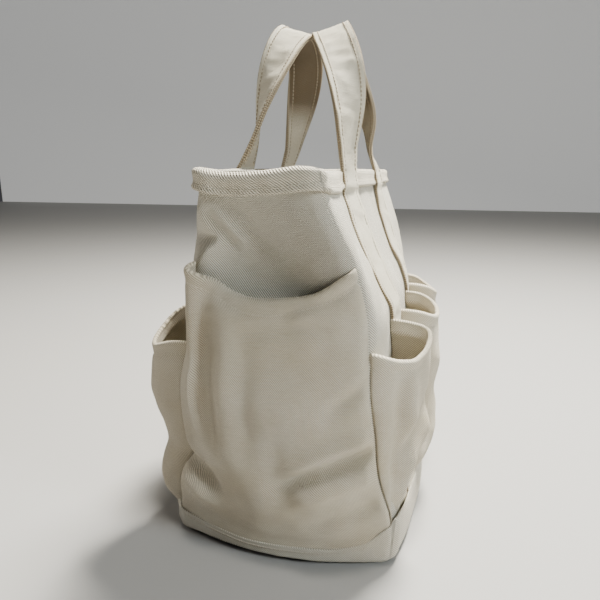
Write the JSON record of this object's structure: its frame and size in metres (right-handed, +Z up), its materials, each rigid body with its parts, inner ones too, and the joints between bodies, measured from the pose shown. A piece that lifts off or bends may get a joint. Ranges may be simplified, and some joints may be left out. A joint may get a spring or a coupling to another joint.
{
  "type": "tool bucket organizer",
  "caption": "Open-topped square canvas bucket tote with deep outside pockets all round, a reinforced bottom and sewn strap handles.",
  "frame": {"origin": "middle of the underside", "axes": "+Z up, +X along the length of the bag, -Y the front long side"},
  "size_m": [0.33, 0.2278, 0.421],
  "materials": {
    "body_canvas": "undyed heavy twill",
    "pocket_canvas": "undyed heavy twill",
    "strap_canvas": "undyed heavy twill, doubled",
    "boot_canvas": "undyed heavy twill",
    "binding_tape": "woven tape"
  },
  "bodies": {
    "bag": {"back_panel": "body_canvas", "back_pocket_left": "pocket_canvas", "back_pocket_middle": "pocket_canvas", "back_pocket_right": "pocket_canvas", "back_strap_left": "strap_canvas", "back_strap_right": "strap_canvas", "base_panel": "body_canvas", "boot_back": "boot_canvas", "boot_base": "boot_canvas", "boot_front": "boot_canvas", "boot_left": "boot_canvas", "boot_right": "boot_canvas", "front_panel": "body_canvas", "front_pocket_left": "pocket_canvas", "front_pocket_middle": "pocket_canvas", "front_pocket_right": "pocket_canvas", "front_strap_left": "strap_canvas", "front_strap_right": "strap_canvas", "left_end_panel": "body_canvas", "left_end_pocket": "pocket_canvas", "right_end_panel": "body_canvas", "right_end_pocket": "pocket_canvas", "rim_hem_back": "body_canvas", "rim_hem_front": "body_canvas", "rim_hem_left": "body_canvas", "rim_hem_right": "body_canvas", "seam_bindings": "binding_tape"},
    "front_handle": {"front_handle_inner": "strap_canvas", "front_handle_outer": "strap_canvas"},
    "back_handle": {"back_handle_inner": "strap_canvas", "back_handle_outer": "strap_canvas"}
  },
  "joints": [
    {"name": "front_handle_swing", "type": "hinge", "parent": "bag", "child": "front_handle", "pos_m": [0, -0.048, 0.3015], "axis": [1, 0, 0], "range_deg": [0, 165]},
    {"name": "back_handle_swing", "type": "hinge", "parent": "bag", "child": "back_handle", "pos_m": [0, 0.048, 0.3015], "axis": [-1, 0, 0], "range_deg": [0, 165]}
  ]
}
